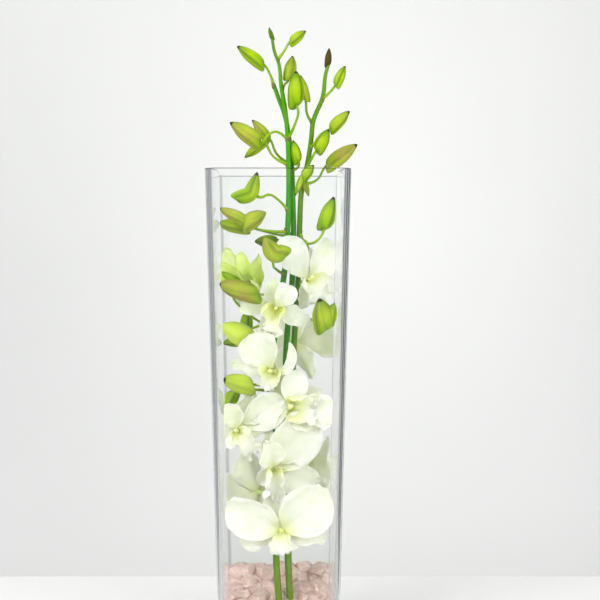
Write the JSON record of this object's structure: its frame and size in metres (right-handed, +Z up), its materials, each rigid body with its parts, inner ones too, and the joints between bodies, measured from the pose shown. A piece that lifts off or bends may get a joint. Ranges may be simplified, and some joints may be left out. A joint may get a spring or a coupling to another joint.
{
  "type": "orchid stems in a glass vase",
  "caption": "White dendrobium orchid stems with green buds and open blooms, standing in rose quartz chips in a tall square glass vase.",
  "frame": {"origin": "centre of the vase's foot, on the surface that it stands on", "axes": "+Z up along the vase, -Y to the front of the arrangement, +X to its right"},
  "size_m": [0.11, 0.102, 0.461],
  "materials": {
    "clear_glass": "polished clear",
    "rose_quartz": "tumbled, slightly translucent pale pink",
    "orchid_green": "smooth living plant tissue, satin",
    "orchid_white": "soft matt petal, slightly translucent"
  },
  "bodies": {
    "root": {"vase": "clear_glass", "rose_quartz": "rose_quartz", "stem_left": "orchid_green", "stem_middle": "orchid_green", "stem_right": "orchid_green", "bloom_01": "orchid_white", "bloom_02": "orchid_white", "bloom_03": "orchid_white", "bloom_04": "orchid_white", "bloom_05": "orchid_white", "bloom_06": "orchid_white", "bloom_07": "orchid_white", "bloom_08": "orchid_white", "bloom_09": "orchid_white", "bloom_10": "orchid_white", "bloom_11": "orchid_white"}
  },
  "joints": []
}
